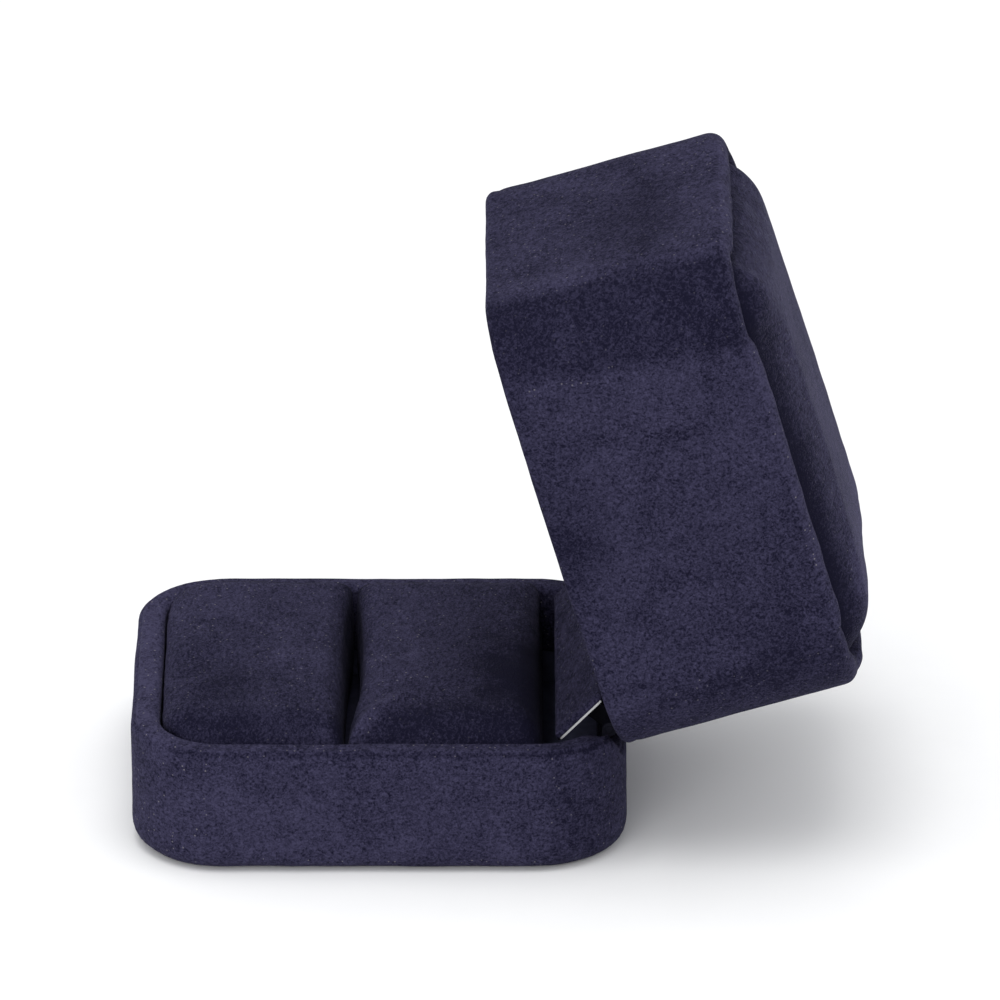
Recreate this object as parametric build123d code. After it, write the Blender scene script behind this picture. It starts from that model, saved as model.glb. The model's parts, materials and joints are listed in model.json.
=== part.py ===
from build123d import *
import os

# A hinged ring box, standing open. Each velvet-covered half is a moulded shell with fabric glued over it.
# X runs along the hinge, Y from the front (-) to the hinge (+), and Z is up from the underside's centre.
# The lid is drawn shut on the base, then turned about the hinge to where it stands open.

# Outside of the two halves, over the fabric.
LENGTH = 65.0
WIDTH = 57.4
CORNER_R = 12.2
BASE_HEIGHT = 17.2
LID_HEIGHT = 32.9
RIM_GAP = 0.3
RIM_ROUND = 1.1
FOOT_ROUND = 2.8
LID_TOP_ROUND = 1.6

# The layers of a wall, from outside to inside.
VELVET = 1.0
SHELL_WALL = 2.0
LINING = 0.8
INSIDE_SHELL = VELVET + SHELL_WALL
INSIDE_LINING = INSIDE_SHELL + LINING

# Base interior.
BASE_FLOOR_TOP = VELVET + 2.0
BASE_HEM_LOW = 8.0
FOOT_HEM_INSET = 7.0
CARD = 1.0
FIT_GAP = 0.2
CUSHION_INSET = INSIDE_LINING + FIT_GAP
CUSHION_LOW = BASE_FLOOR_TOP + CARD
CUSHION_TOP = 18.8
CUSHION_ROUND = 3.4
SLOT_Y = -3.7
SLOT_WIDTH = 1.4
REAR_CUSHION_BACK = 21.2
REAR_CUSHION_CORNER = 3.6

# Lid, as it lies shut on the base.
LID_LOW = BASE_HEIGHT + RIM_GAP
LID_TOP = LID_LOW + LID_HEIGHT
PAD_SEAT = LID_TOP - 2.6
CEILING = PAD_SEAT - SHELL_WALL
LID_HEM_HIGH = 26.0
PAD_CROWN = 2.8
PAD_ROUND = 3.0
INNER_PAD_DEPTH = 3.8
INNER_PAD_ROUND = 1.6

# Hinge: two steel leaves with curled knuckles on one wire pin.
HINGE_Y = 30.2
HINGE_Z = 16.0
OPEN_ANGLE = 73.4
PIN_R = 0.5
KNUCKLE_BORE_R = 0.55
KNUCKLE_R = 0.95
LEAF = KNUCKLE_R - KNUCKLE_BORE_R
LEAF_HALF_WIDTH = 18.6
LEAF_EDGE = 1.6
BASE_LEAF_LOW = 5.0
LID_LEAF_HIGH = 27.0
PIN_HALF_LENGTH = 18.5
BASE_KNUCKLES = ((-PIN_HALF_LENGTH, -16.5), (-4.5, 4.5), (16.5, PIN_HALF_LENGTH))
LID_KNUCKLES = ((-15.2, -5.0), (5.0, 15.2))
POCKET_FRONT = HINGE_Y - KNUCKLE_R - 0.05
POCKET_BACK = POCKET_FRONT + LEAF + 0.1
POCKET_HALF_WIDTH = 19.2
NOTCH_FLOOR = 13.7
NOTCH_LOW_HALF = 20.4
NOTCH_TOP_HALF = 22.4
NOTCH_FRONT = 23.0

# Spring plate: a steel strip on the same pin that bridges base and lid, faced with velvet.
PLATE_OFFSET = 5.1
PLATE = 0.25
PLATE_LOW = -4.6
PLATE_HIGH = 4.0
PLATE_HALF_WIDTH = 22.6
PLATE_CORNER_R = 1.0
PLATE_VELVET = 0.8
PLATE_LEAN = 44.0
LUG_NEAR = 15.6
LUG_FAR = 16.1
LUG_HALF_ROOT = 1.5

HINGE_AXIS = Axis((0, HINGE_Y, HINGE_Z), (1, 0, 0))
BEYOND = 5.0


def block(inset, low, high):
    """The upright rounded block of the outline, moved in by inset, between two heights."""
    outline = RectangleRounded(WIDTH - 2 * inset, LENGTH - 2 * inset, CORNER_R - inset)
    return extrude(Pos(0, 0, low) * outline, amount=high - low)


def span(x0, x1, y0, y1, z0, z1):
    """A plain box from its lowest to its highest corner."""
    centre = Pos((x0 + x1) / 2, (y0 + y1) / 2, (z0 + z1) / 2)
    return centre * Box(x1 - x0, y1 - y0, z1 - z0)


def edges_at(shape, height):
    """The edges that lie flat at one height."""
    return shape.edges().filter_by_position(Axis.Z, height - 0.01, height + 0.01)


def rounded_block(inset, low, high, low_round=0, high_round=0):
    """A block with its bottom and top edges rounded."""
    shape = block(inset, low, high)
    if low_round:
        shape = fillet(edges_at(shape, low), low_round)
    if high_round:
        shape = fillet(edges_at(shape, high), high_round)
    return shape


def ring(outer_inset, inner_inset, low, high):
    """An upright wall between two insets."""
    return block(outer_inset, low, high) - block(inner_inset, low - BEYOND, high + BEYOND)


def leaf_pocket(low, high):
    """The room that a hinge leaf takes out of a back wall."""
    return span(-POCKET_HALF_WIDTH, POCKET_HALF_WIDTH, POCKET_FRONT, POCKET_BACK, low, high)


def back_notch(spare):
    """The base's back wall dips between sloping shoulders, for the hinge barrel and the open lid's edge."""
    spread = (NOTCH_TOP_HALF - NOTCH_LOW_HALF) / (BASE_HEIGHT - NOTCH_FLOOR)
    sideways = spare * (1 + spread**2) ** 0.5
    low = NOTCH_LOW_HALF + sideways - spare * spread
    high = NOTCH_TOP_HALF + sideways + BEYOND * spread
    floor, top = NOTCH_FLOOR - spare, BASE_HEIGHT + BEYOND
    front = NOTCH_FRONT - spare
    outline = Polyline((-low, floor), (low, floor), (high, top), (-high, top), close=True)
    face = Plane(origin=(0, front, 0), x_dir=(1, 0, 0), z_dir=(0, -1, 0)) * make_face(outline)
    return extrude(face, amount=-LENGTH)


def base_shell_envelope():
    """The base shell's outer form, without its hollow."""
    high = BASE_HEIGHT - VELVET
    return rounded_block(VELVET, VELVET, high, low_round=FOOT_ROUND - VELVET) - back_notch(VELVET)


def base_shell():
    """Moulded tray with a lowered back wall."""
    hollow = block(INSIDE_SHELL, BASE_FLOOR_TOP, BASE_HEIGHT + BEYOND)
    pocket = leaf_pocket(BASE_LEAF_LOW - FIT_GAP, BASE_HEIGHT)
    return base_shell_envelope() - hollow - pocket


def base_wrap():
    """Velvet round the tray: a hem underneath, the outside, the rim and a hem turned down inside."""
    skin = rounded_block(0, 0, BASE_HEIGHT, FOOT_ROUND, RIM_ROUND) - base_shell_envelope()
    skin -= block(INSIDE_LINING, BASE_HEM_LOW, BASE_HEIGHT + BEYOND)
    skin -= block(FOOT_HEM_INSET, -BEYOND, VELVET + 0.5)
    skin += ring(INSIDE_SHELL, INSIDE_LINING, BASE_HEM_LOW, BASE_HEIGHT - VELVET)
    skin -= leaf_pocket(BASE_LEAF_LOW, BASE_HEIGHT)
    skin -= back_notch(0)
    inner = block(INSIDE_LINING - 0.05, BASE_HEIGHT - 0.5, BASE_HEIGHT + 0.5)
    rim = [e for e in edges_at(skin, BASE_HEIGHT) if inner.is_inside(e @ 0.5)]
    return fillet(rim, RIM_ROUND - 0.15)


def front_cushion_block(spare):
    """The front cushion's outline, following the tray's corners, moved in by spare."""
    plan = block(CUSHION_INSET + spare, CUSHION_LOW, CUSHION_TOP - spare)
    back = SLOT_Y - SLOT_WIDTH / 2 - spare
    return plan & span(-WIDTH, WIDTH, -LENGTH, back, 0, BASE_HEIGHT * 2)


def rear_cushion_block(spare):
    """The rear cushion's outline, moved in by spare."""
    front = SLOT_Y + SLOT_WIDTH / 2
    width = WIDTH - 2 * (CUSHION_INSET + spare)
    depth = REAR_CUSHION_BACK - front - 2 * spare
    outline = RectangleRounded(width, depth, REAR_CUSHION_CORNER - spare)
    place = Pos(0, (front + REAR_CUSHION_BACK) / 2, CUSHION_LOW)
    return extrude(place * outline, amount=CUSHION_TOP - spare - CUSHION_LOW)


def cushion_foam(outline):
    """Foam core under the velvet."""
    return fillet(edges_at(outline(LINING), CUSHION_TOP - LINING), CUSHION_ROUND - LINING)


def cushion_cover(outline):
    """Velvet over a foam core, open underneath where it is glued to the card."""
    return fillet(edges_at(outline(0), CUSHION_TOP), CUSHION_ROUND) - cushion_foam(outline)


def insert_card():
    """Board that the cushions are glued to, short of the hinge bay."""
    board = block(INSIDE_SHELL + FIT_GAP, BASE_FLOOR_TOP, BASE_FLOOR_TOP + CARD)
    return board & span(-WIDTH, WIDTH, -LENGTH, REAR_CUSHION_BACK, 0, BASE_HEIGHT)


def bottom_patch():
    """Velvet-faced board let in flush underneath, inside the wrap's hem."""
    return block(FOOT_HEM_INSET + FIT_GAP, 0, VELVET)


def knuckle(x0, x1, side):
    """One curled knuckle and the strip of leaf that it grows from; side is 1 above the pin and -1 below."""
    along = Pos((x0 + x1) / 2, HINGE_Y, HINGE_Z) * Rot(0, 90, 0)
    barrel = along * Cylinder(KNUCKLE_R, x1 - x0)
    front = HINGE_Y - KNUCKLE_R
    ends = sorted((HINGE_Z, HINGE_Z + side * (LEAF_EDGE + 0.2)))
    neck = span(x0, x1, front, front + LEAF, *ends)
    bore = along * Cylinder(KNUCKLE_BORE_R, x1 - x0 + 2 * BEYOND)
    return barrel + neck - bore


def leaf(z0, z1):
    """The flat of a hinge leaf."""
    front = HINGE_Y - KNUCKLE_R
    return span(-LEAF_HALF_WIDTH, LEAF_HALF_WIDTH, front, front + LEAF, z0, z1)


def base_hinge_leaf():
    """Leaf let into the inside of the base's back wall."""
    plate = leaf(BASE_LEAF_LOW, HINGE_Z - LEAF_EDGE)
    for x0, x1 in BASE_KNUCKLES:
        plate += knuckle(x0, x1, -1)
    return plate


def lid_hinge_leaf():
    """Leaf let into the inside of the lid's back wall."""
    plate = leaf(HINGE_Z + LEAF_EDGE, LID_LEAF_HIGH)
    for x0, x1 in LID_KNUCKLES:
        plate += knuckle(x0, x1, 1)
    return plate


def hinge_pin():
    """Wire through every knuckle and both lugs."""
    return Pos(0, HINGE_Y, HINGE_Z) * Rot(0, 90, 0) * Cylinder(PIN_R, 2 * PIN_HALF_LENGTH)


def plate_blank(front, back):
    """The strip's outline between two distances in front of the pin, drawn upright."""
    height = PLATE_HIGH - PLATE_LOW
    outline = RectangleRounded(2 * PLATE_HALF_WIDTH, height, PLATE_CORNER_R)
    middle_z = HINGE_Z + (PLATE_HIGH + PLATE_LOW) / 2
    face = Plane(origin=(0, HINGE_Y - back, middle_z), x_dir=(1, 0, 0), z_dir=(0, -1, 0))
    return extrude(face * outline, amount=front - back)


def lug(x0, x1):
    """Ear from the back of the strip to the pin, drawn upright."""
    root_y = HINGE_Y - PLATE_OFFSET + PLATE
    corners = (
        (root_y, HINGE_Z - LUG_HALF_ROOT),
        (HINGE_Y, HINGE_Z - KNUCKLE_R),
        (HINGE_Y, HINGE_Z + KNUCKLE_R),
        (root_y, HINGE_Z + LUG_HALF_ROOT),
    )
    side = Plane(origin=(x0, 0, 0), x_dir=(0, 1, 0), z_dir=(1, 0, 0))
    arm = extrude(side * make_face(Polyline(*corners, close=True)), amount=x1 - x0)
    along = Pos((x0 + x1) / 2, HINGE_Y, HINGE_Z) * Rot(0, 90, 0)
    return arm + along * Cylinder(KNUCKLE_R, x1 - x0) - along * Cylinder(KNUCKLE_BORE_R, BEYOND)


def spring_plate():
    """Sprung steel strip with an ear at each end that turns on the hinge pin."""
    plate = plate_blank(PLATE_OFFSET, PLATE_OFFSET - PLATE)
    for x0, x1 in ((LUG_NEAR, LUG_FAR), (-LUG_FAR, -LUG_NEAR)):
        plate += lug(x0, x1)
    return plate.rotate(HINGE_AXIS, -PLATE_LEAN)


def spring_plate_velvet():
    """Velvet on the strip's visible face."""
    facing = plate_blank(PLATE_OFFSET + PLATE_VELVET, PLATE_OFFSET)
    return facing.rotate(HINGE_AXIS, -PLATE_LEAN)


def lid_shell_envelope():
    """The lid shell's outer form, without its hollows."""
    return rounded_block(VELVET, LID_LOW + VELVET, LID_TOP - VELVET)


def lid_shell():
    """Moulded cover with a tray on top for the pad."""
    hollow = block(INSIDE_SHELL, LID_LOW - BEYOND, CEILING)
    seat = block(INSIDE_SHELL, PAD_SEAT, LID_TOP + BEYOND)
    pocket = leaf_pocket(LID_LOW - BEYOND, LID_LEAF_HIGH + FIT_GAP)
    return lid_shell_envelope() - hollow - seat - pocket


def lid_wrap():
    """Velvet round the cover: a hem inside, the rim, the outside and the lip turned in round the pad."""
    skin = rounded_block(0, LID_LOW, LID_TOP, RIM_ROUND, LID_TOP_ROUND) - lid_shell_envelope()
    skin -= block(INSIDE_LINING, LID_LOW - BEYOND, LID_TOP + BEYOND)
    skin += ring(INSIDE_SHELL, INSIDE_LINING, LID_LOW + VELVET, LID_HEM_HIGH)
    skin += ring(INSIDE_SHELL, INSIDE_LINING, PAD_SEAT, LID_TOP - VELVET)
    inner = block(INSIDE_LINING - 0.05, LID_LOW - 0.5, LID_TOP + 0.5)
    rims = [e for z in (LID_LOW, LID_TOP) for e in edges_at(skin, z) if inner.is_inside(e @ 0.5)]
    return fillet(rims, RIM_ROUND - 0.15) - leaf_pocket(LID_LOW - BEYOND, LID_LEAF_HIGH + FIT_GAP)


def lid_side_lining():
    """Velvet strip round the inside of the lid, above the hem."""
    return ring(INSIDE_SHELL, INSIDE_LINING, LID_HEM_HIGH, CEILING) - leaf_pocket(LID_LOW, LID_LEAF_HIGH + FIT_GAP)


def lid_inner_card():
    """Board behind the lid's inner pad."""
    return block(CUSHION_INSET, CEILING - CARD, CEILING)


def lid_inner_foam():
    """Thin foam of the lid's inner pad."""
    low = CEILING - INNER_PAD_DEPTH + LINING
    return rounded_block(CUSHION_INSET + LINING, low, CEILING - CARD, low_round=INNER_PAD_ROUND - LINING)


def lid_inner_cover():
    """Velvet over the lid's inner pad."""
    low = CEILING - INNER_PAD_DEPTH
    return rounded_block(CUSHION_INSET, low, CEILING - CARD, low_round=INNER_PAD_ROUND) - lid_inner_foam()


def lid_pad_board():
    """Board under the lid's raised pad."""
    return block(CUSHION_INSET, PAD_SEAT, PAD_SEAT + CARD)


def lid_pad_foam():
    """Foam of the raised pad."""
    high = LID_TOP + PAD_CROWN - LINING
    return rounded_block(CUSHION_INSET + LINING, PAD_SEAT + CARD, high, high_round=PAD_ROUND - LINING)


def lid_pad_cover():
    """Velvet over the raised pad."""
    whole = rounded_block(CUSHION_INSET, PAD_SEAT + CARD, LID_TOP + PAD_CROWN, high_round=PAD_ROUND)
    return whole - lid_pad_foam()


def opened(shape):
    """Turns a lid part from shut to where the lid stands open."""
    return shape.rotate(HINGE_AXIS, -OPEN_ANGLE)


PARTS = {
    "base_shell": base_shell(),
    "base_wrap": base_wrap(),
    "bottom_patch": bottom_patch(),
    "insert_card": insert_card(),
    "front_foam": cushion_foam(front_cushion_block),
    "front_cushion_cover": cushion_cover(front_cushion_block),
    "rear_foam": cushion_foam(rear_cushion_block),
    "rear_cushion_cover": cushion_cover(rear_cushion_block),
    "base_hinge_leaf": base_hinge_leaf(),
    "hinge_pin": hinge_pin(),
    "spring_plate": spring_plate(),
    "spring_plate_velvet": spring_plate_velvet(),
    "lid_shell": opened(lid_shell()),
    "lid_wrap": opened(lid_wrap()),
    "lid_side_lining": opened(lid_side_lining()),
    "lid_inner_card": opened(lid_inner_card()),
    "lid_inner_foam": opened(lid_inner_foam()),
    "lid_inner_cover": opened(lid_inner_cover()),
    "lid_pad_board": opened(lid_pad_board()),
    "lid_pad_foam": opened(lid_pad_foam()),
    "lid_pad_cover": opened(lid_pad_cover()),
    "lid_hinge_leaf": opened(lid_hinge_leaf()),
}

os.makedirs("parts", exist_ok=True)
for name, shape in PARTS.items():
    export_step(shape, f"parts/{name}.step")
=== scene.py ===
import json
import math

import bmesh
import bpy
import numpy as np
from mathutils import Matrix, Vector, noise


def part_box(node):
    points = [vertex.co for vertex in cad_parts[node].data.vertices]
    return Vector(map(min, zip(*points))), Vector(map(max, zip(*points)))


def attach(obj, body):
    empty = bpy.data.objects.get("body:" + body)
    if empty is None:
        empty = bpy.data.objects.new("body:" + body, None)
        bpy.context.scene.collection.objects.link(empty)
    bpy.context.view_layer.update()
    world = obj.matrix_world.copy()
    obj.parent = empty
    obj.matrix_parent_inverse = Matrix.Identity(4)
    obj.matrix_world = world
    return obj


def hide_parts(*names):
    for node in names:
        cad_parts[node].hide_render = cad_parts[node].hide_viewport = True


# Looks for a velvet ring box. Shapes are worked out in millimetres in the row frame; lid pieces are drawn
# with the lid shut and then turned about the hinge to where it stands open.

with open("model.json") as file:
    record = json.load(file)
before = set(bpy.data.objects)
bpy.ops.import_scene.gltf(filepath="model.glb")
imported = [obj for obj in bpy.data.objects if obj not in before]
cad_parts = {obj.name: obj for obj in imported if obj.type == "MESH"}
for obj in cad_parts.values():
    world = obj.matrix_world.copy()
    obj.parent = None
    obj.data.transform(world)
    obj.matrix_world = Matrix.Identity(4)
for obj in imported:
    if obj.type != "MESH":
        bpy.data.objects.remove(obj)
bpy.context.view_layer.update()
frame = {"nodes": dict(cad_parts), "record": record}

MM = 0.001
JOINT = frame["record"]["behaviour"]["joints"][0]
PIVOT = Vector(JOINT["pos_m"]) / MM
OPEN_ANGLE = math.radians(JOINT["range_deg"][1])


def box_mm(node):
    """Lowest and highest corners of a CAD node at rest, in millimetres."""
    low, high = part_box(node)
    return np.array(low) / MM, np.array(high) / MM


# Sizes read off the frame, and the few that its boxes don't give.
HALF_X, HALF_Y, BASE_TOP = box_mm("base_wrap")[1]
CORNER_R = 12.2
WALL = 3.8
FOOT_ROUND = 2.9
RIM_ROUND = 1.1
INNER_ROUND = 1.0
WRAP_THICK = 1.04
NOTCH_FLOOR = 13.7
NOTCH_LOW_HALF = 20.4
NOTCH_TOP_HALF = 22.4
NOTCH_FRONT = 23.0
HEM_LOW = 8.0
LID_LOW = BASE_TOP + 0.3
LID_TOP = LID_LOW + 32.9
LID_HEM_HIGH = 26.0
LID_INNER_ROUND = 1.05
LIP_ROUND = 2.2
PAD_SEAT = LID_TOP - 2.6
PLATE_HALF_WIDTH = box_mm("spring_plate")[1][0]
CEILING = PAD_SEAT - 2.0
LID_TO_OPEN = (
    Matrix.Translation(PIVOT) @ Matrix.Rotation(-OPEN_ANGLE, 4, "X") @ Matrix.Translation(-PIVOT)
)

CORNER_STEPS = 14
X_STEPS = 34
Y_STEPS = 42


# ---------------------------------------------------------------- mesh helpers

def smoothstep(t):
    t = np.clip(t, 0.0, 1.0)
    return t * t * (3 - 2 * t)


def outline(inset, radius=CORNER_R, half_x=HALF_X, half_y=HALF_Y):
    """Points round the box's plan moved in by inset, always the same number in the same order."""
    r = max(radius - inset, 0.4)
    cx = half_x - inset - r
    cy = half_y - inset - r
    corners = (((cx, cy), 0), ((-cx, cy), 90), ((-cx, -cy), 180), ((cx, -cy), 270))
    steps = (X_STEPS, Y_STEPS, X_STEPS, Y_STEPS)
    points = []
    for i, ((x, y), start) in enumerate(corners):
        for k in range(CORNER_STEPS + 1):
            a = math.radians(start + 90 * k / CORNER_STEPS)
            points.append((x + r * math.cos(a), y + r * math.sin(a)))
        (nx, ny), after = corners[(i + 1) % 4]
        a = math.radians(after)
        first = np.array(points[-1])
        last = np.array((nx + r * math.cos(a), ny + r * math.sin(a)))
        for k in range(1, steps[i]):
            points.append(tuple(first + (last - first) * k / steps[i]))
    return np.array(points)


def new_object(name, verts, faces):
    """A mesh object from points in millimetres."""
    mesh = bpy.data.meshes.new(name)
    mesh.from_pydata([tuple(v) for v in np.asarray(verts) * MM], [], faces)
    mesh.update()
    bm = bmesh.new()
    bm.from_mesh(mesh)
    bmesh.ops.recalc_face_normals(bm, faces=bm.faces)
    bm.to_mesh(mesh)
    bm.free()
    mesh.shade_smooth()
    obj = bpy.data.objects.new(name, mesh)
    bpy.context.scene.collection.objects.link(obj)
    return obj


def coords(obj):
    """An object's points in millimetres."""
    flat = np.empty(len(obj.data.vertices) * 3)
    obj.data.vertices.foreach_get("co", flat)
    return flat.reshape(-1, 3) / MM


def set_coords(obj, points):
    obj.data.vertices.foreach_set("co", (np.asarray(points) * MM).ravel())
    obj.data.update()


def normals(obj):
    flat = np.empty(len(obj.data.vertices) * 3)
    obj.data.vertices.foreach_get("normal", flat)
    return flat.reshape(-1, 3)


def field(points, size, seed):
    """Smooth noise between -1 and 1 with features of about size millimetres."""
    shift = Vector((seed * 17.3, seed * 5.1, seed * 9.7))
    return np.array([noise.noise(Vector(p) / size + shift) for p in points])


def roughen(obj, *layers):
    """Moves points along their normals by noise layers of (height, size, seed)."""
    points = coords(obj)
    move = sum(height * field(points, size, seed) for height, size, seed in layers)
    set_coords(obj, points + normals(obj) * move[:, None])


def ring_loft(name, rows, top_at):
    """A closed tube of rows round the outline. A row is (inset, height), or (inset, height, 1) for a height
    measured from the top, which top_at gives from the plan."""
    rings = []
    for inset, height, *from_top in rows:
        plan = outline(inset)
        z = height + top_at(plan) if from_top else np.full(len(plan), height)
        ring = np.column_stack((plan, z))
        if not rings or np.abs(ring - rings[-1]).max() > 1e-3:
            rings.append(ring)
    count = len(rings[0])
    faces = []
    for i in range(len(rings)):
        below = i * count
        above = ((i + 1) % len(rings)) * count
        for j in range(count):
            k = (j + 1) % count
            faces.append((below + j, below + k, above + k, above + j))
    return new_object(name, np.vstack(rings), faces)


def turn_open(obj):
    """Turns a lid piece from shut to open."""
    points = coords(obj)
    turn = np.array(LID_TO_OPEN)
    set_coords(obj, points @ turn[:3, :3].T + turn[:3, 3])


def arc(centre_inset, centre_z, r, start, end, steps, *from_top):
    """Profile points on an arc; 0 degrees points outward and 90 up."""
    rows = []
    for k in range(steps + 1):
        a = math.radians(start + (end - start) * k / steps)
        rows.append((centre_inset - r * math.cos(a), centre_z + r * math.sin(a), *from_top))
    return rows


def mark(obj, name, values):
    """A value per point that a material can read."""
    layer = obj.data.attributes.new(name, "FLOAT", "POINT")
    layer.data.foreach_set("value", np.asarray(values, dtype=np.float32))


def shade(obj, *patches):
    """Adds patches of (strength, centre, radii), broken up a little, to a piece's tone: brushed pile tone,
    and in places painted shadow.
    """
    p = coords(obj)
    layer = obj.data.attributes["nap_and_shade"].data
    nap_and_shade = np.empty(len(p), dtype=np.float32)
    layer.foreach_get("value", nap_and_shade)
    broken = 1 + 0.6 * field(p, 3.5, 77)
    for strength, centre, radii in patches:
        nap_and_shade += strength * broken * np.exp(-(((p - centre) / radii) ** 2).sum(axis=1))
    layer.foreach_set("value", nap_and_shade.astype(np.float32))


# ------------------------------------------------------------------- materials

def velvet(name, sheen, turn, stretch):
    """Short-pile velvet: sheen, a broken pile that lies one way, blotches, and pale fibre ends. A per-point
    attribute darkens or lightens it and calms its grain; that attribute holds brushed tone and also painted
    shade and painted highlight.
    """
    mat = bpy.data.materials.new(name)
    mat.use_nodes = True
    nodes, links = mat.node_tree.nodes, mat.node_tree.links
    shader = nodes["Principled BSDF"]
    shader.inputs["Roughness"].default_value = 0.95
    shader.inputs["Specular IOR Level"].default_value = 0.05
    shader.inputs["Sheen Weight"].default_value = sheen
    shader.inputs["Sheen Roughness"].default_value = 0.18
    shader.inputs["Sheen Tint"].default_value = (0.60, 0.58, 0.90, 1)
    place = nodes.new("ShaderNodeTexCoord")
    brushing = nodes.new("ShaderNodeMapping")
    brushing.inputs["Rotation"].default_value = turn
    brushing.inputs["Scale"].default_value = stretch
    links.new(place.outputs["Object"], brushing.inputs["Vector"])

    def noise_node(vector, scale, detail, distortion, rough):
        n = nodes.new("ShaderNodeTexNoise")
        n.inputs["Scale"].default_value = scale
        n.inputs["Detail"].default_value = detail
        n.inputs["Distortion"].default_value = distortion
        n.inputs["Roughness"].default_value = rough
        links.new(vector, n.inputs["Vector"])
        return n.outputs["Fac"]

    def math_node(kind, a, b, c=None):
        n = nodes.new("ShaderNodeMath")
        n.operation = kind
        for socket, value in zip(n.inputs, (a, b, c)):
            if value is None:
                continue
            if isinstance(value, (int, float)):
                socket.default_value = value
            else:
                links.new(value, socket)
        return n.outputs[0]

    plain = place.outputs["Object"]
    brushed = noise_node(plain, 85, 3, 1.2, 0.5)
    blotch = noise_node(plain, 420, 3, 0.8, 0.6)
    fibres = noise_node(brushing.outputs["Vector"], 2900, 2, 0.8, 0.65)
    pile = noise_node(plain, 3100, 2, 0.3, 0.8)
    nap_and_shade = nodes.new("ShaderNodeAttribute")
    nap_and_shade.attribute_name = "nap_and_shade"
    broken = 0.0
    for layer, strength in ((brushed, 0.75), (blotch, 0.35), (fibres, 1.75), (pile, 1.75)):
        broken = math_node("MULTIPLY_ADD", layer, strength, math_node("ADD", broken, -strength / 2))
    calmer = math_node("MULTIPLY_ADD", nap_and_shade.outputs["Fac"], 0.7, 1.0)
    tone = math_node("MULTIPLY_ADD", broken, calmer, math_node("ADD", nap_and_shade.outputs["Fac"], 0.5))
    ramp = nodes.new("ShaderNodeValToRGB")
    ramp.color_ramp.elements[0].color = (*NAVY_DARK, 1)
    ramp.color_ramp.elements[1].color = (*NAVY_LIGHT, 1)
    links.new(tone, ramp.inputs["Fac"])

    tips = nodes.new("ShaderNodeTexVoronoi")
    tips.inputs["Scale"].default_value = 1300
    links.new(plain, tips.inputs["Vector"])
    close = math_node("LESS_THAN", tips.outputs["Distance"], 0.15)
    pick = nodes.new("ShaderNodeSeparateColor")
    links.new(tips.outputs["Color"], pick.inputs["Color"])
    rare = math_node("GREATER_THAN", pick.outputs["Red"], 0.66)
    speck_weight = math_node("MULTIPLY_ADD", nap_and_shade.outputs["Fac"], 1.5, 0.75)
    speck = math_node("MULTIPLY", math_node("MULTIPLY", close, rare), speck_weight)
    mix = nodes.new("ShaderNodeMix")
    mix.data_type = "RGBA"
    links.new(speck, mix.inputs["Factor"])
    links.new(ramp.outputs["Color"], mix.inputs["A"])
    mix.inputs["B"].default_value = (0.16, 0.15, 0.17, 1)
    links.new(mix.outputs["Result"], shader.inputs["Base Color"])

    bump = nodes.new("ShaderNodeBump")
    bump.inputs["Strength"].default_value = 0.7
    bump.inputs["Distance"].default_value = 0.00025
    height = math_node("MULTIPLY_ADD", blotch, 0.7, math_node("ADD", fibres, pile))
    links.new(height, bump.inputs["Height"])
    links.new(bump.outputs["Normal"], shader.inputs["Normal"])
    return mat


def simple(name, colour, rough, scale=900.0, spread=0.12, bump_mm=0.03):
    """A material with a little variation in colour and surface."""
    mat = bpy.data.materials.new(name)
    mat.use_nodes = True
    nodes, links = mat.node_tree.nodes, mat.node_tree.links
    shader = nodes["Principled BSDF"]
    shader.inputs["Roughness"].default_value = rough
    shader.inputs["Specular IOR Level"].default_value = 0.06
    place = nodes.new("ShaderNodeTexCoord")
    grain = nodes.new("ShaderNodeTexNoise")
    grain.inputs["Scale"].default_value = scale
    grain.inputs["Detail"].default_value = 4
    links.new(place.outputs["Object"], grain.inputs["Vector"])
    ramp = nodes.new("ShaderNodeValToRGB")
    ramp.color_ramp.elements[0].position = 0.3
    ramp.color_ramp.elements[1].position = 0.7
    ramp.color_ramp.elements[0].color = (*(c * (1 - spread) for c in colour), 1)
    ramp.color_ramp.elements[1].color = (*(min(1, c * (1 + spread)) for c in colour), 1)
    links.new(grain.outputs["Fac"], ramp.inputs["Fac"])
    links.new(ramp.outputs["Color"], shader.inputs["Base Color"])
    bump = nodes.new("ShaderNodeBump")
    bump.inputs["Strength"].default_value = 0.4
    bump.inputs["Distance"].default_value = bump_mm * MM
    links.new(grain.outputs["Fac"], bump.inputs["Height"])
    links.new(bump.outputs["Normal"], shader.inputs["Normal"])
    return mat


def sheared_steel():
    """Blackened spring steel, bare and bright on its sheared ends."""
    mat = simple("spring_steel", (0.006, 0.006, 0.010), 0.55, spread=0.2, bump_mm=0.01)
    nodes, links = mat.node_tree.nodes, mat.node_tree.links
    shader = nodes["Principled BSDF"]
    black = shader.inputs["Base Color"].links[0].from_socket
    place = nodes.new("ShaderNodeTexCoord")
    split = nodes.new("ShaderNodeSeparateXYZ")
    links.new(place.outputs["Object"], split.inputs["Vector"])
    across = nodes.new("ShaderNodeMath")
    across.operation = "ABSOLUTE"
    links.new(split.outputs["X"], across.inputs[0])
    end = nodes.new("ShaderNodeMath")
    end.operation = "GREATER_THAN"
    end.inputs[1].default_value = (PLATE_HALF_WIDTH - 0.12) * MM
    links.new(across.outputs[0], end.inputs[0])
    mix = nodes.new("ShaderNodeMix")
    mix.data_type = "RGBA"
    links.new(end.outputs[0], mix.inputs["Factor"])
    links.new(black, mix.inputs["A"])
    mix.inputs["B"].default_value = (0.5, 0.5, 0.51, 1)
    links.new(mix.outputs["Result"], shader.inputs["Base Color"])
    return mat


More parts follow.
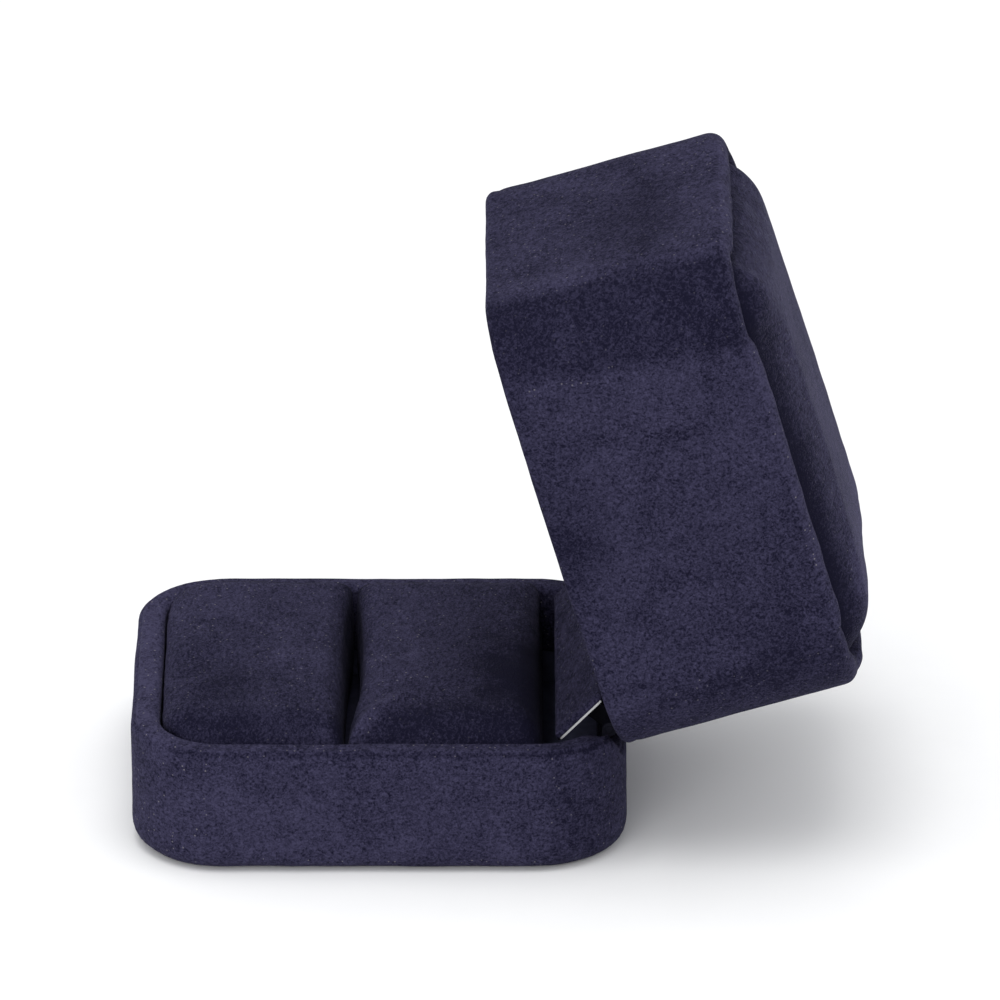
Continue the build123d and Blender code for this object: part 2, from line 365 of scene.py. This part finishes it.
NAVY_LIGHT = (0.051, 0.047, 0.093)
NAVY_DARK = (0.0072, 0.0068, 0.0185)
VELVET = velvet("velvet_wrap", 0.05, (0.5, 0.2, 0.6), (0.42, 0.6, 0.8))
CUSHION_VELVET = velvet("velvet_cushion", 0.03, (0, 0, 0.5), (0.4, 0.85, 0.8))
PAD_VELVET = velvet("velvet_pad", 0.17, (0.4, 0.3, 0.2), (0.25, 0.6, 0.8))
STRIP_VELVET = velvet("velvet_strip", 0.01, (0, 0, 0.4), (0.3, 0.7, 0.7))
PLASTIC = simple("shell_plastic", (0.055, 0.057, 0.10), 0.8, bump_mm=0.02)
BOARD = simple("board", (0.022, 0.022, 0.042), 0.9, scale=1400, spread=0.2)
HINGE_STEEL = simple("hinge_steel", (0.014, 0.014, 0.024), 0.6, spread=0.2, bump_mm=0.01)
SPRING_STEEL = sheared_steel()


def dress(obj, material):
    obj.data.materials.clear()
    obj.data.materials.append(material)


# ------------------------------------------------------------- velvet on the shells

def rim_height(plan):
    """How high the base's rim stands: it dips across the back, between sloping shoulders, for the hinge."""
    slope = (BASE_TOP - NOTCH_FLOOR) / (NOTCH_TOP_HALF - NOTCH_LOW_HALF)
    climb = (np.abs(plan[:, 0]) - NOTCH_LOW_HALF) * slope
    dip = sum(np.clip(climb + shift, 0, BASE_TOP - NOTCH_FLOOR) for shift in (-0.5, 0, 0.5)) / 3
    return np.where(plan[:, 1] > NOTCH_FRONT, NOTCH_FLOOR + dip, BASE_TOP)


def turned(obj):
    """How far the outline's normal has turned from X to Y at each point, in degrees, 0 to 90."""
    p = np.abs(coords(obj))
    x = np.maximum(p[:, 0] - (HALF_X - CORNER_R), 1e-6)
    y = np.maximum(p[:, 1] - (HALF_Y - CORNER_R), 1e-6)
    return np.degrees(np.arctan2(y, x))


def from_edge(p, inset=WALL):
    """Distance inside the outline moved in by inset, in plan: negative outside it."""
    radius = CORNER_R - inset
    qx = np.abs(p[:, 0]) - (HALF_X - CORNER_R)
    qy = np.abs(p[:, 1]) - (HALF_Y - CORNER_R)
    outside = np.hypot(np.maximum(qx, 0), np.maximum(qy, 0))
    return radius - outside - np.minimum(np.maximum(qx, qy), 0)


def base_skin():
    """Velvet wrapped round the tray, over the rim and down inside."""
    rows = [(7.15, 0.6), (7.0, 0.12), (6.7, 0.0), (5.4, 0.0), (4.1, 0.0)]
    rows += arc(FOOT_ROUND, FOOT_ROUND, FOOT_ROUND, -90, 0, 9)
    rows += [(0.0, FOOT_ROUND + k) for k in range(1, 8)]
    rows += [(0.0, -3.0, 1), (0.0, -2.0, 1), (0.03, -1.5, 1)]
    # A faint crease where the fabric turns over the edge of the shell.
    for degrees, depth in ((0, 0.04), (14, 0.06), (26, 0.10), (38, 0.17), (46, 0.24), (52, 0.28), (58, 0.24),
                           (67, 0.12), (78, 0.03), (90, 0)):
        a = math.radians(degrees)
        r = RIM_ROUND - depth
        rows.append((RIM_ROUND - r * math.cos(a), -RIM_ROUND + r * math.sin(a), 1))
    rows += arc(WALL - INNER_ROUND, -INNER_ROUND, INNER_ROUND, 90, 180, 10, 1)
    rows += [(WALL, -3.4, 1), (WALL, -4.4, 1), (WALL, HEM_LOW + 0.4)]
    rows += [(WALL - 0.2, HEM_LOW - 0.15), (WALL - 0.6, HEM_LOW)]
    rows += [(3.1, HEM_LOW + 0.6), (3.1, -2.0, 1), (2.8, -1.3, 1), (1.2, -1.06, 1), (WRAP_THICK, -1.3, 1)]
    rows += [(WRAP_THICK, 3.2), (1.5, 1.8), (2.9, 1.05), (6.9, 1.03)]
    skin = ring_loft("base_velvet_wrap", rows, rim_height)
    p = coords(skin)
    # Painted light in the wrap's tone: a painted sheen along the front rim, painted shade down inside the
    # tray and in the rim's crease, and darker hinge-end corners that are partly brushed pile and partly
    # painted shade.
    corner = smoothstep((p[:, 1] - 21.8) / 1.2) * (1 - 0.9 * smoothstep((p[:, 1] - 30.2) / 1.6))
    painted_rim_sheen = smoothstep((-p[:, 1] - 27.0) / 1.5) * smoothstep((p[:, 2] - BASE_TOP + 1.2) / 0.8)
    inside = (from_edge(p, 0) > 2.5) & (p[:, 2] > HEM_LOW - 1)
    painted_deep_shade = inside * smoothstep((BASE_TOP - 0.2 - p[:, 2]) / 1.4)
    crease = (from_edge(p, 0) < RIM_ROUND) * np.exp(-(((p[:, 2] - BASE_TOP + 0.52) / 0.28) ** 2))
    mark(skin, "nap_and_shade", 0.28 * painted_rim_sheen - 0.17 * corner - 0.12 * painted_deep_shade - 0.22 * crease)
    roughen(skin, (0.10, 9.0, 1), (0.05, 3.0, 2))
    return skin


def corner_share(plan):
    """1 on the rounded corners of the outline, 0 on its straights."""
    x = smoothstep((np.abs(plan[:, 0]) - (HALF_X - CORNER_R) + 0.4) / 1.2)
    y = smoothstep((np.abs(plan[:, 1]) - (HALF_Y - CORNER_R) + 0.4) / 1.2)
    return x * y


def lip_height(plan):
    """How high the lid's lip stands: a little lower round the corners, and slightly uneven."""
    level = np.column_stack((plan, np.zeros(len(plan))))
    return LID_TOP - 0.5 * corner_share(plan) + 0.22 * field(level, 3.2, 9)


def lid_skin():
    """Velvet wrapped round the cover, over its rim and in round the pad."""
    rows = [(WALL, LID_HEM_HIGH - (LID_HEM_HIGH - LID_LOW - LID_INNER_ROUND) * k / 6) for k in range(7)]
    rows += arc(WALL - LID_INNER_ROUND, LID_LOW + LID_INNER_ROUND, LID_INNER_ROUND, 180, 270, 6)
    rows += [(2.2, LID_LOW), (1.7, LID_LOW - 0.02)]
    rows += arc(RIM_ROUND, LID_LOW + RIM_ROUND, RIM_ROUND, -90, 0, 7)
    for rise, depth in ((1.35, 0.03), (1.65, 0.08), (1.9, 0.12), (2.15, 0.08), (2.5, 0.03)):
        rows.append((depth, LID_LOW + rise))
    rows += [(0.0, LID_LOW + 3.0 + (LID_TOP - LID_LOW - 6.2) * k / 24) for k in range(25)]
    rows += arc(LIP_ROUND, -LIP_ROUND, LIP_ROUND, 0, 78, 8, 1)
    rows += [(2.6, -0.02, 1), (3.2, -0.2, 1), (3.65, -0.7, 1), (WALL, -1.4, 1), (WALL, PAD_SEAT + 0.1)]
    rows += [(3.2, PAD_SEAT + 0.06), (3.06, PAD_SEAT + 0.3), (3.0, LID_TOP - 1.2), (1.3, LID_TOP - 1.2)]
    rows += [(WRAP_THICK, LID_TOP - 1.6), (WRAP_THICK, LID_LOW + 1.3), (1.2, LID_LOW + 1.06)]
    rows += [(2.8, LID_LOW + 1.06), (3.06, LID_LOW + 1.3), (3.06, LID_HEM_HIGH - 0.3)]
    rows += [(WALL - 0.4, LID_HEM_HIGH)]
    skin = ring_loft("lid_velvet_wrap", rows, lip_height)
    # A darker strip over each corner, a little askew: partly pile brushed the other way, partly painted
    # shade.
    p = coords(skin)
    rise = (p[:, 2] - LID_LOW) / (LID_TOP - LID_LOW)
    reach = np.abs(p[:, 1]) - (HALF_Y - CORNER_R)
    corner_pile_and_shade = smoothstep((reach - 3.0 + 3.6 * rise) / 2.2)
    corner_pile_and_shade *= 1 - smoothstep((turned(skin) - 74 + 13 * rise) / 9)
    # A painted highlight along the lip.
    lip = smoothstep((p[:, 2] - LID_TOP + 1.6) / 0.9) * (1 - smoothstep((from_edge(p, 0) - 2.2) / 0.8))
    corner_pile_and_shade *= np.where(p[:, 1] < 0, 0.30, 0.14)
    mark(skin, "nap_and_shade", -0.10 - corner_pile_and_shade + 0.25 * lip)
    shade(skin, (-0.22, (28, -3, 20), (9, 9, 6)), (0.08, (28, -14, 36), (9, 9, 8)),
          (-0.16, (28, 20, 41), (9, 6, 6)), (-0.30, (2, -32, 38), (12, 8, 6)))
    roughen(skin, (0.13, 11.0, 3), (0.05, 3.0, 4))
    return skin


def lid_lining():
    """Velvet strip round the inside of the cover, from the hem to the inner pad."""
    high = CEILING - 0.1
    low = LID_HEM_HIGH + 0.15
    rows = [(WALL - 0.15, low)]
    rows += [(WALL, low + 0.3 + (high - low - 0.3) * k / 12) for k in range(13)]
    rows += [(3.1, high), (3.1, low + 0.2)]
    lining = ring_loft("lid_side_lining_velvet", rows, lip_height)
    roughen(lining, (0.08, 7.0, 5))
    return lining


# --------------------------------------------------------------------- padding

def rounded_plan(x0, x1, y0, y1, radii, steps=8):
    """Plan of a pad whose four corners have their own radii, counter-clockwise from +x +y."""
    corners = ((x1, y1, -1, -1, 0), (x0, y1, 1, -1, 90), (x0, y0, 1, 1, 180), (x1, y0, -1, 1, 270))
    points = []
    for (x, y, sx, sy, start), r in zip(corners, radii):
        for k in range(steps + 1):
            a = math.radians(start + 90 * k / steps)
            points.append((x + sx * r + r * math.cos(a), y + sy * r + r * math.sin(a)))
    return np.array(points)


def prism(name, plan, low, high):
    """A closed upright block over a plan."""
    count = len(plan)
    verts = np.vstack([np.column_stack((plan, np.full(count, z))) for z in (low, high)])
    faces = [tuple(range(count - 1, -1, -1)), tuple(range(count, 2 * count))]
    faces += [(j, (j + 1) % count, count + (j + 1) % count, count + j) for j in range(count)]
    return new_object(name, verts, faces)


def bake(obj):
    """Replaces an object's mesh with the result of its modifiers."""
    result = obj.evaluated_get(bpy.context.evaluated_depsgraph_get())
    mesh = bpy.data.meshes.new_from_object(result)
    obj.modifiers.clear()
    obj.data = mesh


SIM_SCALE = 20.0
SIM_PRESSURE = 4.0
SIM_FRAMES = 20


def remesh(obj, voxel):
    mod = obj.modifiers.new("remesh", "REMESH")
    mod.mode = "VOXEL"
    mod.voxel_size = voxel * MM
    bake(obj)


def inflate(obj, pinned, cap):
    """Swells a pad with cloth simulation. Points where pinned is true stay; none moves further than cap."""
    start = coords(obj)
    set_coords(obj, start * SIM_SCALE)
    group = obj.vertex_groups.new(name="pin")
    group.add([int(i) for i in np.flatnonzero(pinned)], 1.0, "REPLACE")
    cloth = obj.modifiers.new("cloth", "CLOTH")
    cloth.settings.vertex_group_mass = "pin"
    cloth.settings.quality = 6
    cloth.settings.mass = 0.3
    cloth.settings.tension_stiffness = 15
    cloth.settings.compression_stiffness = 15
    cloth.settings.bending_stiffness = 0.5
    cloth.settings.use_pressure = True
    cloth.settings.uniform_pressure_force = SIM_PRESSURE
    cloth.settings.effector_weights.gravity = 0
    cloth.point_cache.frame_start = 1
    cloth.point_cache.frame_end = SIM_FRAMES
    for f in range(1, SIM_FRAMES + 1):
        bpy.context.scene.frame_set(f)
    bake(obj)
    bpy.context.scene.frame_set(1)
    move = coords(obj) / SIM_SCALE - start
    size = np.linalg.norm(move, axis=1)
    shrink = np.where(size > 1e-6, cap * np.tanh(size / cap) / np.maximum(size, 1e-6), 1.0)
    set_coords(obj, start + move * shrink[:, None])
    obj.vertex_groups.clear()


def subdivide(obj, levels=1):
    mod = obj.modifiers.new("subdivide", "SUBSURF")
    mod.levels = levels
    mod.render_levels = levels
    bake(obj)
    obj.data.shade_smooth()


def near_line(points, start, end, width):
    """1 on a line between two plan points, fading over width away from it and along it to its end."""
    a = np.array(start, dtype=float)
    b = np.array(end, dtype=float)
    along = np.clip(((points[:, :2] - a) @ (b - a)) / ((b - a) @ (b - a)), 0, 1)
    away = np.linalg.norm(points[:, :2] - (a + along[:, None] * (b - a)), axis=1)
    return (1 - along) * np.exp(-((away / width) ** 2))


def edge_drop(distance, reach, power=2.3):
    """1 well inside a pad, falling smoothly to 0 at an edge."""
    return 1 - (1 - np.clip(distance / reach, 0, 1)) ** power


CUSHION_LOW = 4.05
CUSHION_BLOCK_HIGH = 18.0
CUSHION_HIGH = 19.1
CUSHION_HALF = 24.55
CUSHION_SWELL = 0.22
SLOT_Y = -3.6
SLOT_BEND = 0.8
PAD_GAP = 0.2


def cushion(name, y0, y1, radii, sag, seed, folds):
    """One of the two cushions, full towards the far side and rounding away nearer, where a thumb presses it.
    sag is how far its top drops at the front and at the back. folds are soft creases and raised folds, whose
    rise also sets a painted highlight on raised folds and painted shade in creases."""
    plan = rounded_plan(-CUSHION_HALF, CUSHION_HALF, y0, y1, radii)
    obj = prism(name, plan, CUSHION_LOW, CUSHION_BLOCK_HIGH)
    remesh(obj, 0.65)
    p = coords(obj)
    across = p[:, 0] / CUSHION_HALF
    near = np.clip(across, 0, 1)
    far = np.clip(-across, 0, 1)
    along = (2 * p[:, 1] - y0 - y1) / (y1 - y0)
    to_end = (1 - np.abs(along)) * (y1 - y0) / 2
    dip = 3.0 * np.clip((near - 0.70) / 0.30, 0, 1) ** 2
    height = CUSHION_HIGH - 0.25 * far**2 - 0.5 * near**2 - dip - 0.35 * along**2
    height -= 0.9 * np.clip(1 - (1 - far) * CUSHION_HALF / 1.6, 0, 1) ** 2
    end_sag = np.where(along < 0, sag[0], sag[1]) * (1 - 0.5 * far**2)
    height -= end_sag * np.clip(1 - to_end / 3.0, 0, 1) ** 2.5
    block = CUSHION_BLOCK_HIGH - CUSHION_LOW
    p[:, 2] = CUSHION_LOW + (p[:, 2] - CUSHION_LOW) * (height - CUSHION_LOW) / block
    set_coords(obj, p)
    inflate(obj, p[:, 2] < CUSHION_LOW + 2.5, CUSHION_SWELL)
    subdivide(obj)
    p = coords(obj)
    upper = smoothstep((p[:, 2] - 11) / 3)
    painted_fold_light = np.zeros(len(p))
    for start, finish, rise, width in folds:
        line = upper * near_line(p, start, finish, width)
        p[:, 2] += rise * line
        painted_fold_light += 0.5 * rise * line
    # The slot bends towards the front on the near side, and is widest in the middle.
    beside_slot = np.exp(-(((p[:, 1] - SLOT_Y) / 5) ** 2))
    p[:, 1] -= SLOT_BEND * smoothstep(p[:, 0] / CUSHION_HALF) * beside_slot
    away = np.sign((y0 + y1) / 2 - SLOT_Y)
    p[:, 1] += away * beside_slot * (0.60 - (p[:, 0] / CUSHION_HALF) ** 2)
    set_coords(obj, p)
    roughen(obj, (0.20, 8.0, seed), (0.07, 2.6, seed + 1))
    # Painted shade in the tone: darker beside the slot, at the far edge, down the near slope and low on the
    # sides.
    to_slot = np.abs(p[:, 1] - SLOT_Y + SLOT_BEND * smoothstep(p[:, 0] / CUSHION_HALF))
    nap_and_shade = painted_fold_light - 0.45 * np.exp(-((to_slot / 1.5) ** 2)) - 0.8 * smoothstep((-p[:, 0] - 22.4) / 1.0)
    nap_and_shade -= 0.10 + 0.22 * smoothstep((p[:, 0] - 15.5) / 6) + 0.6 * smoothstep((16.0 - p[:, 2]) / 2)
    mark(obj, "nap_and_shade", nap_and_shade)
    return obj


def pad(name, low, high, height_at, cap, seed):
    """A pad over the inside of the lid's outline, drawn with the lid shut. height_at gives its far face."""
    half_x = HALF_X - WALL - PAD_GAP
    half_y = HALF_Y - WALL - PAD_GAP
    radius = CORNER_R - WALL - PAD_GAP
    plan = rounded_plan(-half_x, half_x, -half_y, half_y, (radius,) * 4)
    obj = prism(name, plan, min(low, high), max(low, high))
    remesh(obj, 0.9)
    p = coords(obj)
    share = (p[:, 2] - low) / (high - low)
    p[:, 2] = low + share * (height_at(p, np.maximum(from_edge(p), 0)) - low)
    set_coords(obj, p)
    inflate(obj, share < 0.35, cap)
    subdivide(obj)
    roughen(obj, (0.2, 10.0, seed), (0.06, 3.0, seed + 1))
    p = coords(obj)
    # Painted light in the tone: a painted sheen towards the hinge end, and painted shade in the groove by
    # the lip, deepest midway along.
    inward = from_edge(p)
    middle = 1 - np.clip(np.abs(p[:, 1]) / half_y, 0, 1) ** 3
    painted_hinge_end_sheen = smoothstep((p[:, 1] - 10) / 10) * smoothstep((inward - 3) / 4)
    mark(obj, "nap_and_shade", -0.08 + 0.38 * painted_hinge_end_sheen - 0.35 * (1 - smoothstep(inward / 3.2))
         - 0.6 * middle * (1 - smoothstep(inward / 10)))
    return obj


def outer_height(p, distance):
    """Top of the lid's raised pad: a crown behind a groove, fuller towards the near side and the hinge, and
    steep at both ends."""
    x, y = p[:, 0] / HALF_X, p[:, 1] / HALF_Y
    crown = 3.0 + 0.45 * x + 0.25 * y - 0.35 * x**2 - 0.5 * y**2
    reach = 12 - 6 * smoothstep(y) - 5.5 * smoothstep((-y - 0.5) / 0.25)
    return LID_TOP - 1.5 + (1.5 + crown) * edge_drop(distance, reach, 2.2)


def inner_height(p, distance):
    """Underside of the lid's inner pad."""
    sway = 0.25 * np.cos(p[:, 0] / 16) * np.cos(p[:, 1] / 19)
    return CEILING - 1.6 - 2.0 * edge_drop(distance, 5.0) - sway


# ------------------------------------------------------------------ hinge facing

STRIP_LEAN = math.radians(44.0)
STRIP_COLUMNS = 60


def plate_facing():
    """Velvet glued to the sprung strip, with soft edges, standing where the strip stands at rest."""
    strip = frame["nodes"]["spring_plate_velvet"]
    points = coords(strip)
    along = np.array((0, math.sin(STRIP_LEAN), math.cos(STRIP_LEAN)))
    out = np.array((0, -math.cos(STRIP_LEAN), math.sin(STRIP_LEAN)))
    pivot = np.array(PIVOT)
    low, high = ((points - pivot) @ along).min(), ((points - pivot) @ along).max()
    seat = ((points - pivot) @ out).min()
    half = points[:, 0].max() - 0.12
    low += 0.1
    high -= 0.1
    profile = [(low, 0.02), (low + 0.03, 0.3), (low + 0.16, 0.55), (low + 0.42, 0.7), (low + 0.8, 0.76)]
    profile += [(low + 0.8 + (high - low - 1.6) * k / 8, 0.78) for k in range(1, 8)]
    profile += [(high - 0.8, 0.76), (high - 0.42, 0.7), (high - 0.16, 0.55)]
    profile += [(high - 0.03, 0.3), (high, 0.02)]
    verts = []
    for c in range(STRIP_COLUMNS + 1):
        t = 2 * c / STRIP_COLUMNS - 1
        x = half * math.copysign(1 - (1 - abs(t)) ** 1.15, t)
        edge = min(1.0, (half - abs(x)) / 0.7)
        soft = math.sqrt(max(0.0, 1 - (1 - edge) ** 2))
        squeeze = 1 - 0.05 * (1 - soft)
        middle = (low + high) / 2
        for s, n in profile:
            s2 = middle + (s - middle) * squeeze
            lift = seat + 0.02 + n * (0.25 + 0.75 * soft)
            verts.append(pivot + along * s2 + out * lift + np.array((x, 0, 0)))
    rows = len(profile)
    faces = []
    for c in range(STRIP_COLUMNS):
        for r in range(rows - 1):
            a = c * rows + r
            faces.append((a, a + 1, a + rows + 1, a + rows))
        faces.append((c * rows, (c + 1) * rows, (c + 2) * rows - 1, (c + 1) * rows - 1))
    faces.append(tuple(range(rows)))
    faces.append(tuple(range(STRIP_COLUMNS * rows, (STRIP_COLUMNS + 1) * rows)))
    obj = new_object("spring_plate_facing", verts, faces)
    roughen(obj, (0.05, 4.0, 8))
    mark(obj, "nap_and_shade", np.full(len(obj.data.vertices), -0.16))
    return obj


PATCH_INSET = 7.3


def underside_patch():
    """Velvet-faced board under the base, flat, with its edge turned up into the hem."""
    half_x, half_y = HALF_X - PATCH_INSET, HALF_Y - PATCH_INSET
    profile = [(0.0, 0.9), (0.0, 0.3), (0.12, 0.1), (0.4, 0.02), (1.2, 0.0)]
    profile += [(4.0 * k, 0.0) for k in range(1, 6)]
    rings = []
    for inset, z in profile:
        radius = max(CORNER_R - PATCH_INSET - inset, 0.5)
        x, y = half_x - inset, half_y - inset
        plan = rounded_plan(-x, x, -y, y, (radius,) * 4, 10)
        rings.append(np.column_stack((plan, np.full(len(plan), z))))
    count = len(rings[0])
    faces = []
    for i in range(len(rings) - 1):
        for j in range(count):
            k = (j + 1) % count
            faces.append((i * count + j, i * count + k, (i + 1) * count + k, (i + 1) * count + j))
    faces.append(tuple(range(count)))
    faces.append(tuple(range((len(rings) - 1) * count, len(rings) * count)))
    return new_object("underside_velvet_patch", np.vstack(rings), faces)


# -------------------------------------------------------------------- assembling

base_wrap = base_skin()
dress(base_wrap, VELVET)
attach(base_wrap, "base")
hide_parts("base_wrap")

patch = underside_patch()
dress(patch, VELVET)
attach(patch, "base")
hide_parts("bottom_patch")

front = cushion("front_cushion", -28.6, -4.15, (0.7, 0.7, 8.1, 8.1), (1.2, 1.2), 20,
                [((6, -22), (-8, -15), -0.3, 4.0), ((24, -5), (16, -9), 0.35, 1.8)])
rear = cushion("rear_cushion", -3.05, 21.3, (1.3, 1.3, 0.7, 0.7), (1.2, 1.9), 30,
               [((24.5, -3.6), (12, 4), 1.6, 1.2), ((22, 3), (14, 9), -0.35, 2.4),
                ((-24, 21), (-17, 14), 0.3, 1.4)])
shade(front, (-0.26, (14, -20, 17), (8, 6, 9)), (0.14, (-13, -24, 18), (8, 5, 9)),
      (0.14, (2, -9, 18), (5, 4, 9)))
# The first rear patch is a painted shadow of the open lid over the cushion's hinge end; the other patches
# are brushed tone.
shade(rear, (-0.85, (6, 22, 17), (13, 9, 9)), (0.20, (2, 3, 18), (13, 5, 9)),
      (-0.15, (17, 9, 17), (5, 5, 9)))
for obj, nodes in (
    (front, ("front_cushion_cover", "front_foam")),
    (rear, ("rear_cushion_cover", "rear_foam")),
):
    dress(obj, CUSHION_VELVET)
    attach(obj, "base")
    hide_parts(*nodes)

facing = plate_facing()
dress(facing, STRIP_VELVET)
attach(facing, "flap")
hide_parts("spring_plate_velvet")

lid_wrap = lid_skin()
lining = lid_lining()
outer_pad = pad("lid_raised_pad", PAD_SEAT + 1.05, LID_TOP + 3.3, outer_height, 0.4, 40)
inner_pad = pad("lid_inner_pad", CEILING - 1.05, CEILING - 3.6, inner_height, 0.3, 50)
for obj, material, slot, nodes in (
    (lid_wrap, VELVET, "velvet", ("lid_wrap",)),
    (lining, VELVET, "velvet", ("lid_side_lining",)),
    (outer_pad, PAD_VELVET, "velvet", ("lid_pad_cover", "lid_pad_foam")),
    (inner_pad, CUSHION_VELVET, "cushion_velvet", ("lid_inner_cover", "lid_inner_foam")),
):
    turn_open(obj)
    dress(obj, material)
    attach(obj, "lid")
    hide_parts(*nodes)

for node, material in (
    ("base_shell", PLASTIC), ("lid_shell", PLASTIC),
    ("insert_card", BOARD), ("lid_inner_card", BOARD), ("lid_pad_board", BOARD),
    ("base_hinge_leaf", HINGE_STEEL), ("lid_hinge_leaf", HINGE_STEEL), ("hinge_pin", HINGE_STEEL),
    ("spring_plate", SPRING_STEEL),
):
    obj = frame["nodes"][node]
    for s in obj.material_slots:
        s.material = material

# ------------------------------------------------------------------------ stage

FLOOR_HALF = 4.0
LIGHT_AIM = (0, 0.01, 0.03)
CAMERA_TILT = math.radians(23.5)
CAMERA_RIGHT = 0.01587
CAMERA_UP = 0.03738
CAMERA_BACK = 1.648
CAMERA_LENS = 446.6


def floor():
    size = FLOOR_HALF
    mesh = bpy.data.meshes.new("floor")
    corners = [(-size, -size, 0), (size, -size, 0), (size, size, 0), (-size, size, 0)]
    mesh.from_pydata(corners, [], [(0, 1, 2, 3)])
    obj = bpy.data.objects.new("floor", mesh)
    bpy.context.scene.collection.objects.link(obj)
    mat = simple("floor_paper", (0.95, 0.95, 0.95), 0.9, scale=60, spread=0.01, bump_mm=0.02)
    mesh.materials.append(mat)


def area_light(name, place, size, power):
    light = bpy.data.lights.new(name, "AREA")
    light.size = size
    light.energy = power
    obj = bpy.data.objects.new(name, light)
    obj.location = place
    aim = Vector(LIGHT_AIM) - Vector(place)
    obj.rotation_euler = aim.to_track_quat("-Z", "Y").to_euler()
    bpy.context.scene.collection.objects.link(obj)


def camera():
    """Square to the side of the box, looking down at it with a long lens."""
    back = Vector((math.cos(CAMERA_TILT), 0, math.sin(CAMERA_TILT)))
    up = Vector((-math.sin(CAMERA_TILT), 0, math.cos(CAMERA_TILT)))
    right = Vector((0, 1, 0))
    data = bpy.data.cameras.new("camera")
    data.lens = CAMERA_LENS
    data.sensor_width = 36
    data.clip_end = 50
    obj = bpy.data.objects.new("camera", data)
    turn = Matrix((right, up, back)).transposed().to_4x4()
    place = right * CAMERA_RIGHT + up * CAMERA_UP + back * CAMERA_BACK
    obj.matrix_world = Matrix.Translation(place) @ turn
    bpy.context.scene.collection.objects.link(obj)
    bpy.context.scene.camera = obj


def studio():
    world = bpy.data.worlds.new("studio")
    world.use_nodes = True
    background = world.node_tree.nodes["Background"]
    background.inputs["Color"].default_value = (0.97, 0.98, 1.0, 1)
    background.inputs["Strength"].default_value = 0.8
    bpy.context.scene.world = world
    bpy.context.scene.view_settings.view_transform = "Standard"


floor()
area_light("key", (0.1, -0.05, 1.0), 0.7, 4.3)
area_light("fill", (1.25, -0.35, 0.45), 0.8, 5.4)
camera()
studio()
